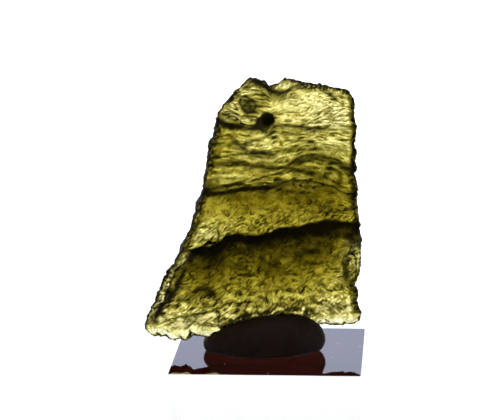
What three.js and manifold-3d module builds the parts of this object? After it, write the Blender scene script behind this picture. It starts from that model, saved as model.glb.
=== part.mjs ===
// A flat moldavite, standing on its lower edge in a lump of dark putty on a clear acrylic cube.
// Millimetres, +Z up. X runs along the cube's front edge and Y to the back.
// The origin is the centre of the cube's underside, on which the whole specimen rests.

import * as THREE from 'three';
import { mergeVertices } from 'three/addons/utils/BufferGeometryUtils.js';
import Module from 'manifold-3d';

// ---------- driving dimensions ----------

const CUBE_SIDE = 25; // the display cube's edge, left sharp all round

const STONE_TURN = THREE.MathUtils.degToRad(8.3); // the plate's right end is turned to the back
const STONE_BACK = 0.2; // from the cube's centre to the plate's middle
const RIM_ROUNDING = 0.55; // how far in from its outline the plate reaches its full thickness
const LEDGE_RISE = 1.1; // how far the lower half of the front stands out under the big ledge
const BACK_LEDGE_RISE = 0.6; // the same at the back
const PIT_DEPTH = 0.6; // the round hole near the top
const LEAST_HEIGHT = 0.28; // of either face over the middle plane, so that no hole breaks through
const FIT_GAP = 0.35; // clear space between the stone and the putty's groove

const PUTTY_HALF_WIDTH = 8.2; // of the squeezed lump, at its bulge
const PUTTY_HALF_DEPTH = 5.0;
const PUTTY_MIDDLE = -0.95; // the lump's centre along X

// ---------- the stone's outline ----------
// The plate is drawn in its own plane: u to the right of the cube's centre, w up from the cube's
// top face. Each side is a list of hand-set points, and each is a function of one coordinate.

const LEFT_SIDE = [ // [w, u], from the long lower corner up to the peak
  [2.6, -16.0], [3.6, -16.7], [5.3, -16.4], [5.9, -15.9], [7.2, -15.35], [8.4, -14.95],
  [9.2, -14.5], [10.9, -13.75], [12.0, -13.0], [13.1, -12.4], [14.1, -12.0], [15.3, -11.4],
  [17.4, -10.45], [19.3, -9.85], [20.9, -9.5], [22.2, -8.95], [24.3, -8.5], [26.2, -8.2],
  [28.1, -8.0], [29.6, -7.35], [31.2, -6.95], [32.1, -6.8], [33.7, -5.9], [34.4, -4.95],
  [35.4, -4.25], [36.3, -3.2], [37.0, -2.4],
];
const RIGHT_SIDE = [ // [w, u]
  [3.4, 11.7], [4.5, 12.35], [5.8, 11.95], [7.6, 11.95], [8.4, 11.75], [9.0, 11.25],
  [9.7, 11.75], [11.2, 12.15], [13.8, 12.3], [15.4, 12.25], [18.5, 11.9], [20.3, 11.65],
  [21.9, 11.75], [23.6, 11.45], [24.2, 11.15], [24.9, 11.65], [26.5, 11.6], [28.2, 11.4],
  [30.2, 11.7], [32.4, 11.45], [33.5, 11.3], [34.2, 11.1],
];
const TOP_SIDE = [ // [u, w], two peaks with a notch between them
  [-2.4, 37.0], [-1.6, 36.9], [-0.4, 36.45], [0.15, 35.8], [0.7, 36.1], [1.3, 36.3],
  [2.3, 36.9], [3.1, 36.7], [5.2, 36.2], [6.8, 36.0], [8.4, 35.6], [10.0, 35.3],
  [10.7, 34.9], [11.1, 34.2],
];
const BOTTOM_SIDE = [ // [u, w], the middle of it sunk in the putty
  [-16.0, 2.6], [-15.2, 2.4], [-13.9, 2.25], [-12.8, 1.7], [-11.0, 1.75], [-10.4, 2.25],
  [-8.5, 2.1], [-6.0, 1.8], [0, 1.5], [5.0, 2.6], [7.0, 3.4], [9.2, 3.25], [11.0, 3.3],
  [11.7, 3.4],
];

// The lines that cross the plate, [u, w]: the ledge, the two folds above it, and the line of the pit.
const LEDGE_CREST = [
  [-12.4, 14], [-11, 14.25], [-10, 14.5], [-9, 14.75], [-8, 14.65], [-7.2, 15], [-6.5, 15.5],
  [-5.8, 16.15], [-5, 16.3], [-4, 16.35], [-2, 16.15], [-1, 16.3], [1, 16.9], [2, 17.1],
  [4, 17.25], [6, 17.7], [8, 18.1], [9, 18], [11, 17.75], [12.4, 17.05],
];
const LOWER_FOLD = [
  [-9.3, 22.5], [-8.3, 22.3], [-7, 22], [-5.5, 22], [-4.5, 22.3], [-3, 22.6], [0.3, 22.6],
  [1.3, 22.9], [2.2, 23.2], [3.5, 23.4], [5, 23.35], [6.5, 23.1], [7.5, 22.8], [8.5, 22.5],
  [9.3, 21.9], [10.3, 21.6], [11.9, 21.7],
];
const UPPER_FOLD = [
  [-8.4, 26.4], [-5.2, 26.1], [-3, 25.8], [-2, 25.5], [0, 25.1], [1, 25.05], [2, 25.3],
  [4, 26.5], [5.5, 26.9], [7, 26.6], [8.5, 26.2], [9.5, 25.7], [10.5, 25.2], [11.7, 24.6],
];
const PIT_LINE = [
  [-7.2, 31.55], [-5, 31.45], [-4.3, 31.15], [-2.5, 30.55], [-0.5, 30.35], [0.9, 31.05],
  [2, 30.75], [4.5, 30.45], [8, 30.45], [11.7, 30.25],
];

// The plate's thickness at each height, [w, mm], and the ledge's band, [u, mm], from crest to foot.
const THICKNESS = [
  [1.5, 0.8], [3.4, 0.9], [4.6, 1.2], [6, 1.6], [8, 2.2], [10, 2.8], [12, 3.1], [15, 3.0],
  [18, 3.0], [20.5, 3.5], [22.5, 3.0], [24.5, 2.3], [26, 2.2], [28.5, 1.9], [31, 1.6],
  [33, 1.35], [37, 1.1],
];
const LEDGE_BAND = [[-12, 0.8], [0, 0.9], [5, 1.3], [9, 2.1], [12, 2.2]];

// Where the plate is thicker or thinner than that: the middle and reach of an oval, and by how much.
const LUMPS = [ // [u, w, reach along u, reach along w, mm]
  [-6.3, 29.5, 2.6, 3, 0.9], [-1.8, 28.4, 2.8, 1.1, -0.4], [8, 28.5, 3.2, 2, -0.3],
  [-5.2, 24.3, 2.8, 1, -0.3], [-7, 17.5, 3.2, 2.2, -0.6], [-8.6, 16.4, 2.6, 1.6, -0.6],
  [6, 19.6, 4.5, 1.6, 0.5], [-2, 19, 5, 1.6, 0.3], [-1.5, 33.6, 2.4, 1.9, 0.5],
  [0, 21, 5, 1.2, 0.4], [8, 22.5, 2.4, 1.8, 0.5], [-5.3, 32.8, 1.6, 1.6, -0.6],
  [9.5, 8, 3, 3, -0.7], [-9, 7.8, 2.2, 1.6, 0.4], [8, 10.5, 2, 2, -0.4],
];

// ---------- small tools for lines and noise ----------

// The value of a hand-set line at x, smooth between its points and level beyond its ends.
function onLine(points, x) {
  const last = points.length - 1;
  if (x <= points[0][0]) return points[0][1];
  if (x >= points[last][0]) return points[last][1];
  let i = 0;
  while (points[i + 1][0] < x) i++;
  const slope = (a, b) => (points[b][1] - points[a][1]) / (points[b][0] - points[a][0]);
  const step = points[i + 1][0] - points[i][0];
  const start = slope(Math.max(i - 1, 0), i + 1) * step;
  const end = slope(i, Math.min(i + 2, last)) * step;
  const t = (x - points[i][0]) / step;
  const rise = points[i + 1][1] - points[i][1];
  return points[i][1] + t * start + t * t * (3 * rise - 2 * start - end)
    + t * t * t * (start + end - 2 * rise);
}

const clamp01 = (x) => Math.min(Math.max(x, 0), 1);

function smoothStep(low, high, x) {
  const t = clamp01((x - low) / (high - low));
  return t * t * (3 - 2 * t);
}

function latticeValue(i, j) {
  const wave = Math.sin(i * 127.1 + j * 311.7) * 43758.5453;
  return wave - Math.floor(wave);
}

// Smooth noise between -1 and 1, with lumps about one unit across.
function noise(x, y) {
  const [i, j] = [Math.floor(x), Math.floor(y)];
  const [a, b] = [smoothStep(0, 1, x - i), smoothStep(0, 1, y - j)];
  const low = latticeValue(i, j) * (1 - a) + latticeValue(i + 1, j) * a;
  const high = latticeValue(i, j + 1) * (1 - a) + latticeValue(i + 1, j + 1) * a;
  return 2 * (low * (1 - b) + high * b) - 1;
}

// ---------- the stone's surface ----------

// How far a point of the plate lies inside its outline.
function insideBy(u, w) {
  const sides = [u - onLine(LEFT_SIDE, w), onLine(RIGHT_SIDE, w) - u];
  const ends = [onLine(TOP_SIDE, u) - w, w - onLine(BOTTOM_SIDE, u)];
  return Math.min(...sides, ...ends) * 0.93;
}

// A shelf that stands out below a line and fades out further down.
function shelf(u, w, crest, rise, band, fade) {
  const below = onLine(crest, u) - w;
  return rise * smoothStep(0, band, below) * Math.exp(-Math.max(below - band, 0) / fade);
}

// A rounded hollow: its centre, its two radii and its depth.
function hollow(u, w, [cu, cw], [ru, rw], depth) {
  const far = Math.hypot((u - cu) / ru, (w - cw) / rw);
  return -depth * (1 - smoothStep(0.35, 1.15, far));
}

// The thin flange along the left of the lower half, and the thin places at the right edge.
function thinEdges(u, w) {
  const fromLeft = u - onLine(LEFT_SIDE, w);
  const fromRight = onLine(RIGHT_SIDE, w) - u;
  const lower = 1 - smoothStep(14, 15, w);
  const flange = 0.62 * lower * (1 - smoothStep(1.0, 2.0, fromLeft));
  const chip = 0.5 * Math.exp(-(((w - 12.8) / 2.2) ** 4)) * (1 - smoothStep(0.5, 2.6, fromRight));
  return 1 - Math.max(flange, chip);
}

// Half of the plate's thickness, with its lumps but without its ledges.
function halfBody(u, w) {
  let thickness = onLine(THICKNESS, w);
  for (const [lumpU, lumpW, reachU, reachW, height] of LUMPS) {
    const far = Math.hypot((u - lumpU) / reachU, (w - lumpW) / reachW);
    thickness += height * (1 - smoothStep(0.5, 1.5, far));
  }
  return Math.max(thickness, 0.5) / 2 * thinEdges(u, w);
}

// Long creases that lie across the plate and wander a little, with sharp crests.
function creases(u, w) {
  const wander = 0.5 * noise(u * 0.3 + 5.5, w * 0.35);
  const broad = 1 - 2 * Math.abs(noise(u * 0.11 + 3.1, w * 0.42 - u * 0.03 + wander));
  const fine = 1 - 2 * Math.abs(noise(u * 0.2 - 7.3, w * 0.75 + u * 0.05 + wander));
  return 0.22 * broad + 0.13 * fine;
}

// Short upright ribs that fan out over the lower part of the front.
function fanRibs(u, w) {
  const spread = (u - 2.5) / (w + 9);
  const where = smoothStep(3.5, 5, w) * (1 - smoothStep(7.5, 10.5, w));
  return 0.14 * where * Math.sin(62 * spread + 2.2 * noise(u * 0.4, w * 0.3));
}

// The front's height over the plate's middle plane.
function frontHeight(u, w) {
  const body = halfBody(u, w);
  const steps = shelf(u, w, LEDGE_CREST, LEDGE_RISE * smoothStep(4, 10, w), onLine(LEDGE_BAND, u), 8)
    + shelf(u, w, LOWER_FOLD, 0.35, 1.2, 1.6)
    + shelf(u, w, UPPER_FOLD, 0.4, 1, 1.3)
    + shelf(u, w, PIT_LINE, 0.3, 0.7, 1);
  const holes = hollow(u, w, [0.1, 31.2], [1.1, 1.1], PIT_DEPTH)
    + hollow(u, w, [-8.9, 7.8], [1.9, 1.4], 0.5)
    + hollow(u, w, [-2.6, 33.2], [0.9, 0.9], 0.2);
  const folds = creases(u, w) * smoothStep(9, 18, w) + fanRibs(u, w);
  return Math.max(body + steps * thinEdges(u, w) + holes + folds * clamp01(body), LEAST_HEIGHT);
}

// The back's height: a softer ledge a little lower than the front's, and broad shallow scallops.
function backHeight(u, w) {
  const body = halfBody(u, w);
  const step = shelf(u, w + 0.6, LEDGE_CREST, BACK_LEDGE_RISE * smoothStep(4, 10, w), 2.2, 8);
  const scallops = 0.22 * Math.abs(noise(u * 0.28 + 11.7, w * 0.36 + 4.9))
    + 0.12 * Math.abs(noise(u * 0.6 - 2.2, w * 0.8 + 8.1));
  return Math.max(body + step * thinEdges(u, w) - scallops * clamp01(body), LEAST_HEIGHT);
}

// ---------- the stone's mesh ----------

const RIM_INSETS = [0.12, 0.35, 0.75]; // the first rows and columns in from the outline
const COLUMNS_BETWEEN = 34;
const ROWS_BETWEEN = [13, 2, 7, 4, 6, 6]; // between one crossing line and the next

// The rows of the mesh, as functions of u: they run along the bottom, the crossing lines and the
// top, so that each ledge has an unbroken edge. grow moves the outline outwards.
function rowLines(grow) {
  const bottom = (u) => onLine(BOTTOM_SIDE, u) - grow;
  const top = (u) => onLine(TOP_SIDE, u) + grow;
  const inset = RIM_INSETS.at(-1);
  const crossing = [
    (u) => bottom(u) + inset,
    (u) => onLine(LEDGE_CREST, u) - onLine(LEDGE_BAND, u),
    (u) => onLine(LEDGE_CREST, u),
    (u) => onLine(LOWER_FOLD, u),
    (u) => onLine(UPPER_FOLD, u),
    (u) => onLine(PIT_LINE, u),
    (u) => top(u) - inset,
  ];
  const rows = [bottom];
  for (const d of RIM_INSETS.slice(0, -1)) rows.push((u) => bottom(u) + d);
  ROWS_BETWEEN.forEach((count, k) => {
    for (let i = 0; i < count; i++) {
      rows.push((u) => THREE.MathUtils.lerp(crossing[k](u), crossing[k + 1](u), i / count));
    }
  });
  rows.push(crossing.at(-1));
  for (const d of RIM_INSETS.slice(0, -1).reverse()) rows.push((u) => top(u) - d);
  rows.push(top);
  return rows;
}

// Where a row meets a side of the outline.
function rowEnd(row, side, outward) {
  let u = outward;
  for (let i = 0; i < 12; i++) u = onLine(side, row(u)) + outward;
  return u;
}

// The points of one row, close together at both ends.
function rowPoints(row, grow) {
  const [left, right] = [rowEnd(row, LEFT_SIDE, -grow), rowEnd(row, RIGHT_SIDE, grow)];
  const inset = RIM_INSETS.at(-1);
  const places = [left, ...RIM_INSETS.slice(0, -1).map((d) => left + d)];
  for (let i = 0; i <= COLUMNS_BETWEEN; i++) {
    places.push(THREE.MathUtils.lerp(left + inset, right - inset, i / COLUMNS_BETWEEN));
  }
  places.push(...RIM_INSETS.slice(0, -1).reverse().map((d) => right - d), right);
  return places.map((u) => [u, row(u)]);
}

// The closed plate: a front and a back sheet that share their outline, which is rounded over.
function stoneGeometry(grow = 0) {
  const grid = rowLines(grow).map((row) => rowPoints(row, grow));
  const [rows, columns] = [grid.length, grid[0].length];
  const positions = [];
  const place = (height, side) => grid.forEach((points, i) => points.forEach(([u, w], j) => {
    const onRim = i === 0 || j === 0 || i === rows - 1 || j === columns - 1;
    const inward = clamp01((insideBy(u, w) + grow) / (RIM_ROUNDING + grow));
    const rounding = onRim ? 0 : Math.sqrt(1 - (1 - Math.max(inward, 0.08)) ** 2);
    positions.push(u, -side * (height(u, w) + grow) * rounding, w);
  }));
  place(frontHeight, 1);
  place(backHeight, -1);

  const faces = [];
  const quad = (a, b, c, d) => faces.push(a, b, c, a, c, d);
  for (let i = 0; i < rows - 1; i++) {
    for (let j = 0; j < columns - 1; j++) {
      const a = i * columns + j;
      const back = a + rows * columns;
      quad(a, a + 1, a + columns + 1, a + columns);
      quad(back + 1, back, back + columns, back + columns + 1);
    }
  }
  const geometry = new THREE.BufferGeometry();
  geometry.setAttribute('position', new THREE.Float32BufferAttribute(positions, 3));
  geometry.setIndex(faces);
  geometry.applyMatrix4(new THREE.Matrix4().makeRotationZ(STONE_TURN));
  geometry.translate(0, STONE_BACK, CUBE_SIDE);
  return mergeVertices(geometry, 1e-4);
}

// ---------- the putty ----------

const PUTTY_PROFILE = [ // [share of the radius, share of the height], from the foot to the crown
  [0, 0], [0.5, 0], [0.86, 0], [0.95, 0.08], [1, 0.27], [1, 0.45], [0.965, 0.64], [0.9, 0.8],
  [0.78, 0.92], [0.5, 0.99], [0, 1],
];
const PUTTY_CROWN = [ // [x, height], the lump's top line along the stone
  [-9.2, 3.0], [-7.5, 3.4], [-5, 4.3], [-2.5, 4.75], [0, 5.2], [2, 5.35], [4, 5.1], [5.5, 4.9],
  [7.3, 4.5],
];
const PUTTY_SEGMENTS = 44;

// A pressed oval lump with thumbed sides and a flat foot.
function puttyGeometry() {
  const profile = PUTTY_PROFILE.map(([r, h]) => new THREE.Vector2(r, h));
  const geometry = new THREE.LatheGeometry(profile, PUTTY_SEGMENTS);
  geometry.rotateX(Math.PI / 2);
  const position = geometry.attributes.position;
  for (let i = 0; i < position.count; i++) {
    const [x, y, z] = [position.getX(i), position.getY(i), position.getZ(i)];
    const angle = Math.atan2(y, x);
    const thumbed = 1 + 0.025 * Math.sin(3 * angle + 0.6) + 0.015 * Math.sin(7 * angle + 2);
    const wide = PUTTY_MIDDLE + x * PUTTY_HALF_WIDTH * thumbed;
    const deep = STONE_BACK + y * PUTTY_HALF_DEPTH * thumbed;
    position.setXYZ(i, wide, deep, CUBE_SIDE + z * onLine(PUTTY_CROWN, wide));
  }
  return geometry;
}

// ---------- the cube ----------

function cubeGeometry() {
  return new THREE.BoxGeometry(CUBE_SIDE, CUBE_SIDE, CUBE_SIDE).translate(0, 0, CUBE_SIDE / 2);
}

// ---------- cutting the groove ----------

const wasm = await Module();
wasm.setup();

function toSolid(geometry) {
  const bare = new THREE.BufferGeometry();
  bare.setAttribute('position', geometry.attributes.position);
  if (geometry.index) bare.setIndex(geometry.index);
  const merged = mergeVertices(bare, 1e-4);
  const corners = merged.index.array;
  const triangles = [];
  for (let i = 0; i < corners.length; i += 3) {
    const [a, b, c] = corners.slice(i, i + 3);
    if (a !== b && b !== c && c !== a) triangles.push(a, b, c);
  }
  return new wasm.Manifold(new wasm.Mesh({
    numProp: 3,
    vertProperties: new Float32Array(merged.attributes.position.array),
    triVerts: new Uint32Array(triangles),
  }));
}

function toGeometry(solid) {
  const mesh = solid.getMesh();
  const geometry = new THREE.BufferGeometry();
  geometry.setAttribute('position', new THREE.BufferAttribute(mesh.vertProperties, 3));
  geometry.setIndex(new THREE.BufferAttribute(mesh.triVerts, 1));
  geometry.computeVertexNormals();
  return geometry;
}

// ---------- the specimen ----------

const glassGreen = new THREE.MeshStandardMaterial({ color: 0x8a8628, roughness: 0.15, metalness: 0 });
const darkPutty = new THREE.MeshStandardMaterial({ color: 0x1a1512, roughness: 0.6, metalness: 0 });
const clearAcrylic = new THREE.MeshStandardMaterial({
  color: 0xe8ecf0, roughness: 0.05, metalness: 0, transparent: true, opacity: 0.35,
});

function named(name, geometry, material) {
  const mesh = new THREE.Mesh(geometry, material);
  mesh.name = name;
  return mesh;
}

const groovedPutty = toSolid(puttyGeometry()).subtract(toSolid(stoneGeometry(FIT_GAP)));

const specimen = new THREE.Group();
specimen.name = 'moldavite_specimen';
specimen.add(
  named('moldavite', stoneGeometry(), glassGreen),
  named('putty_pad', toGeometry(groovedPutty), darkPutty),
  named('acrylic_block', cubeGeometry(), clearAcrylic),
);

export default specimen;
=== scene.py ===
# %% [markdown]
# # A moldavite on its display cube
# A moldavite is natural glass from a meteorite's strike: a thin olive-green plate with an etched,
# wrinkled skin. It shows its colour only with light behind it. Here it stands on its lower edge in
# a lump of dark putty, on a clear acrylic cube with a dark red film of painted shade under its
# foot.
#
# The imported model already holds every size and place, as three plain solids. This lesson builds
# the stone's skin again with far finer relief, presses the putty round it, and finishes the cube.
# Lengths in the cells are in millimetres, because that is how one thinks about a small stone.
# Blender works in metres, so points are multiplied by MM where a mesh is made.

# %% Load the fixed frame
import math

import bpy
import numpy as np
from mathutils import Matrix, Vector


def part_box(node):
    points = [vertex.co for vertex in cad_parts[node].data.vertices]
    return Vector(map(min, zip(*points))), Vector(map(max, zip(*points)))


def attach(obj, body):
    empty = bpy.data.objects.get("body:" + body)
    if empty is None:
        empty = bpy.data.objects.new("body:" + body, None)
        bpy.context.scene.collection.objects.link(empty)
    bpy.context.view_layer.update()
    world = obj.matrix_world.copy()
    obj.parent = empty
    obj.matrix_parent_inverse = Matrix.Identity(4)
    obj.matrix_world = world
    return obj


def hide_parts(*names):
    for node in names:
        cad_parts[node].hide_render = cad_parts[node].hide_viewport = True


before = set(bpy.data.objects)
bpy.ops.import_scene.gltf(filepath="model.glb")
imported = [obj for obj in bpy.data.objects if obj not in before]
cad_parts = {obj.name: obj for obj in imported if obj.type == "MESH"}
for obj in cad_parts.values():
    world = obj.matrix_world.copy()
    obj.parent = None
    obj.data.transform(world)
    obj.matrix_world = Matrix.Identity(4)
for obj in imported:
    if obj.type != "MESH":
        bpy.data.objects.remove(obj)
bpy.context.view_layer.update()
MM = 0.001
CUBE_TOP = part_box("acrylic_block")[1].z / MM
print(f"the cube's top is {CUBE_TOP:.2f} mm up")

# %% [markdown]
# ## The camera
# A small thing looks right through a long lens from some distance, because its sides then stay
# almost parallel. The camera could be aimed at a target with a constraint. Three plain angles are
# used instead, so that its slight tilt to one side can be set as well.

# %% Aim a long lens at the stone
CAMERA_PLACE = Vector((19.7, -326.8, 111.3)) * MM
TURNED_LEFT, TILTED_DOWN, ROLLED = 3.89, 11.57, -0.41  # degrees
LENS, SENSOR_WIDTH = 181.44, 36.0


def aim(left, down, roll):
    """The angles of a camera that looks to the back, then turns left, tilts down and rolls."""
    turn = Matrix.Rotation(math.radians(left), 3, "Z")
    tilt = Matrix.Rotation(math.radians(90 - down), 3, "X")
    spin = Matrix.Rotation(math.radians(roll), 3, "Z")
    return (turn @ tilt @ spin).to_euler()


camera_data = bpy.data.cameras.new("long_lens")
camera_data.lens, camera_data.sensor_width = LENS, SENSOR_WIDTH
camera_data.clip_start, camera_data.clip_end = 0.01, 20  # metres
camera = bpy.data.objects.new("camera", camera_data)
camera.location = CAMERA_PLACE
camera.rotation_euler = aim(TURNED_LEFT, TILTED_DOWN, ROLLED)
bpy.context.scene.collection.objects.link(camera)
bpy.context.scene.camera = camera
print(f"the camera stands {CAMERA_PLACE.length / MM:.0f} mm from the cube's foot")

# %% [markdown]
# ## Tools for materials
# Every surface here gets its colour, roughness and bump from nodes. A few helpers keep that short:
# one starts a material, one adds a node with its settings, and one joins two nodes.
# An effect that several materials share is built once as a node group with named sockets.
# Each material then places the group with its own values.

# %% Helpers for node trees
def new_material(name):
    """A material with its node tree and its Principled shader."""
    material = bpy.data.materials.new(name)
    material.use_nodes = True
    return material, material.node_tree, material.node_tree.nodes["Principled BSDF"]


def set_sockets(node, **sockets):
    """Sets sockets by name: From_Min=0 sets the socket From Min."""
    for socket, value in sockets.items():
        node.inputs[socket.replace("_", " ")].default_value = value


def add_node(tree, kind, fields=None, **sockets):
    """Adds a node and sets its fields, then its sockets."""
    node = tree.nodes.new(kind)
    for field, value in (fields or {}).items():
        setattr(node, field, value)
    set_sockets(node, **sockets)
    return node


def join(tree, giver, output, taker, socket):
    tree.links.new(giver.outputs[output], taker.inputs[socket])


def new_group(name, inputs, output):
    """A node group with number inputs, given with their first values, and one number output."""
    group = bpy.data.node_groups.new(name, "ShaderNodeTree")
    for label, value in inputs.items():
        socket = group.interface.new_socket(label, in_out="INPUT", socket_type="NodeSocketFloat")
        socket.default_value = value
    group.interface.new_socket(output, in_out="OUTPUT", socket_type="NodeSocketFloat")
    return group, group.nodes.new("NodeGroupInput"), group.nodes.new("NodeGroupOutput")


def place_group(tree, group, **values):
    """Places a node group in a material with its own values."""
    return add_node(tree, "ShaderNodeGroup", {"node_tree": group}, **values)


print("node helpers are ready")

# %% [markdown]
# ## Fine grain
# Etched glass, kneaded putty, paper and film all vary a little from spot to spot. A noise texture
# in the object's own space gives that, and it stays put when the camera moves. Contrast pulls the
# noise away from its middle value, so that one group serves both faint and strong grain.
#
# Every material here also varies its gloss and raises its surface through a Bump node, so two
# short functions wire that up. Paper, putty and film blend two tones as well: grainy_finish does
# all three with each material's own values.

# %% Build the fine grain group
grain, grain_in, grain_out = new_group("fine_grain", {"Scale": 1.0, "Contrast": 1.0}, "Grain")
where = add_node(grain, "ShaderNodeTexCoord")
cloud = add_node(grain, "ShaderNodeTexNoise", Detail=4)
centred = add_node(grain, "ShaderNodeMath", {"operation": "SUBTRACT"})
spread = add_node(grain, "ShaderNodeMath", {"operation": "MULTIPLY_ADD"})
centred.inputs[1].default_value = 0.5
spread.inputs[2].default_value = 0.5
join(grain, where, "Object", cloud, "Vector")
join(grain, grain_in, "Scale", cloud, "Scale")
join(grain, cloud, "Fac", centred, 0)
join(grain, centred, "Value", spread, 0)
join(grain, grain_in, "Contrast", spread, 1)
join(grain, spread, "Value", grain_out, "Grain")
print("fine_grain has", len(grain.nodes), "nodes")

# %% Wire up finishes that follow a mask
def vary_gloss(tree, shader, giver, output, smoothest, roughest, start=0):
    """Roughness that grows with a mask, from where the mask passes start."""
    gloss = add_node(tree, "ShaderNodeMapRange", From_Min=start, To_Min=smoothest, To_Max=roughest)
    join(tree, giver, output, gloss, "Value")
    join(tree, gloss, "Result", shader, "Roughness")


def raise_surface(tree, shader, giver, output, strength, metres):
    relief = add_node(tree, "ShaderNodeBump", Strength=strength, Distance=metres)
    join(tree, giver, output, relief, "Height")
    join(tree, relief, "Normal", shader, "Normal")


def grainy_finish(tree, shader, broad, fine, tones, roughness, strength, metres):
    """Broad grain varies the roughness. Fine grain blends the tones and raises the surface."""
    tone = add_node(tree, "ShaderNodeMix", {"data_type": "RGBA"},
                    A=(*tones[0], 1), B=(*tones[1], 1))
    join(tree, fine, "Grain", tone, "Factor")
    join(tree, tone, "Result", shader, "Base Color")
    vary_gloss(tree, shader, broad, "Grain", *roughness)
    raise_surface(tree, shader, fine, "Grain", strength, metres)


print("finishes are ready for", grain.name)

# %% [markdown]
# ## Dust specks
# Clear acrylic gathers single specks of dust. The distance to the nearest cell centre of a Voronoi
# texture is small only at the centres, so a cut at a small distance leaves round specks.

# %% Build the dust group
dust, dust_in, dust_out = new_group("dust_specks", {"Scale": 1.0, "Speck Size": 0.1}, "Specks")
where = add_node(dust, "ShaderNodeTexCoord")
cells = add_node(dust, "ShaderNodeTexVoronoi")
cut = add_node(dust, "ShaderNodeMapRange", {"interpolation_type": "SMOOTHSTEP"},
               From_Min=0, To_Min=1, To_Max=0)
join(dust, where, "Object", cells, "Vector")
join(dust, dust_in, "Scale", cells, "Scale")
join(dust, cells, "Distance", cut, "Value")
join(dust, dust_in, "Speck Size", cut, "From Max")
join(dust, cut, "Result", dust_out, "Specks")
print("dust_specks has", len(dust.nodes), "nodes")

# %% [markdown]
# ## The floor
# The cube stands on a large sheet of pale paper. One flat face is enough for it. Its grain is
# faint: a slightly uneven white, and a roughness that never shines. It lies a hair below zero, so
# that the cube's foot and the paper never share a plane.

# %% Lay the paper
def new_object(name, data):
    made = bpy.data.objects.new(name, data)
    bpy.context.scene.collection.objects.link(made)
    return made


def new_mesh(name, points, faces):
    mesh = bpy.data.meshes.new(name)
    mesh.from_pydata(points, [], faces)
    return mesh


PAPER_HALF, PAPER_LEVEL = 2.0, -0.00002  # metres
paper_mesh = new_mesh("paper", [(x * PAPER_HALF, y * PAPER_HALF, PAPER_LEVEL) for x, y in (
    (-1, -1), (1, -1), (1, 1), (-1, 1))], [(0, 1, 2, 3)])
paper = new_object("paper", paper_mesh)
print("the paper is", 2 * PAPER_HALF, "m wide")

# %% Give it its faint grain
paper_material, tree, shader = new_material("pale_paper")
fibres = place_group(tree, grain, Scale=700, Contrast=1.5)
grainy_finish(tree, shader, fibres, fibres, [(0.88, 0.88, 0.88), (0.92, 0.92, 0.92)],
              (0.82, 0.96), strength=0.2, metres=0.00005)
paper_mesh.materials.append(paper_material)
print("paper nodes:", len(tree.nodes))

# %% [markdown]
# ## Light from behind
# Green glass this dark needs strong light behind it. A wall of soft boxes stands behind the stone,
# wide enough that even a ray bent sideways by a wrinkle still meets light. A narrow lilac card
# fills the gap between the two boxes. It lies exactly where the cube's polished top mirrors the
# view, so the top looks pale lilac. Two more lights from above keep the paper white. The room
# itself gives almost no light, because it would wash out the dark lines in the glass.

# %% Set up the lights
def soft_light(name, place, target, size, watts, colour=(1, 1, 1)):
    """A rectangular area light that faces a target."""
    data = bpy.data.lights.new(name, "AREA")
    data.shape = "RECTANGLE"
    data.size, data.size_y = size
    data.energy, data.color = watts, colour
    light = new_object(name, data)
    light.location = place
    light.rotation_euler = (Vector(target) - Vector(place)).to_track_quat("-Z", "Y").to_euler()
    return light


WALL_BACK, WALL_WIDTH = 1.3, 1.8  # metres
WHITE, LILAC = (1, 1, 1), (0.68, 0.75, 0.98)
for name, height, tall, watts, colour in [
        ("low_softbox", 0.17, 0.32, 3.8, WHITE),
        ("lilac_card", 0.37, 0.08, 0.71, LILAC),
        ("high_softbox", 0.71, 0.6, 7.2, WHITE)]:
    soft_light(name, (0, WALL_BACK, height), (0, 0, height), (WALL_WIDTH, tall), watts, colour)
paper_light = soft_light("paper_light", (0, 0.7, 0.8), (0, 0.7, 0), size=(0.4, 1.2), watts=4.2)
paper_light.data.spread = math.radians(50)  # a narrow beam keeps to the paper
soft_light("fill_light", (0, 0, 1.5), (0, 0, 0), size=(1.4, 1.4), watts=8)
print("lights:", [item.name for item in bpy.data.lights])

# %% Dim the room
ROOM_COLOUR, ROOM_STRENGTH = (0.8, 0.86, 1.0, 1), 0.05
room = bpy.data.worlds.new("room")
room.use_nodes = True
set_sockets(room.node_tree.nodes["Background"], Color=ROOM_COLOUR, Strength=ROOM_STRENGTH)
bpy.context.scene.world = room
bpy.context.scene.view_settings.view_transform = "Standard"
print("the room's own strength is", ROOM_STRENGTH)
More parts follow.
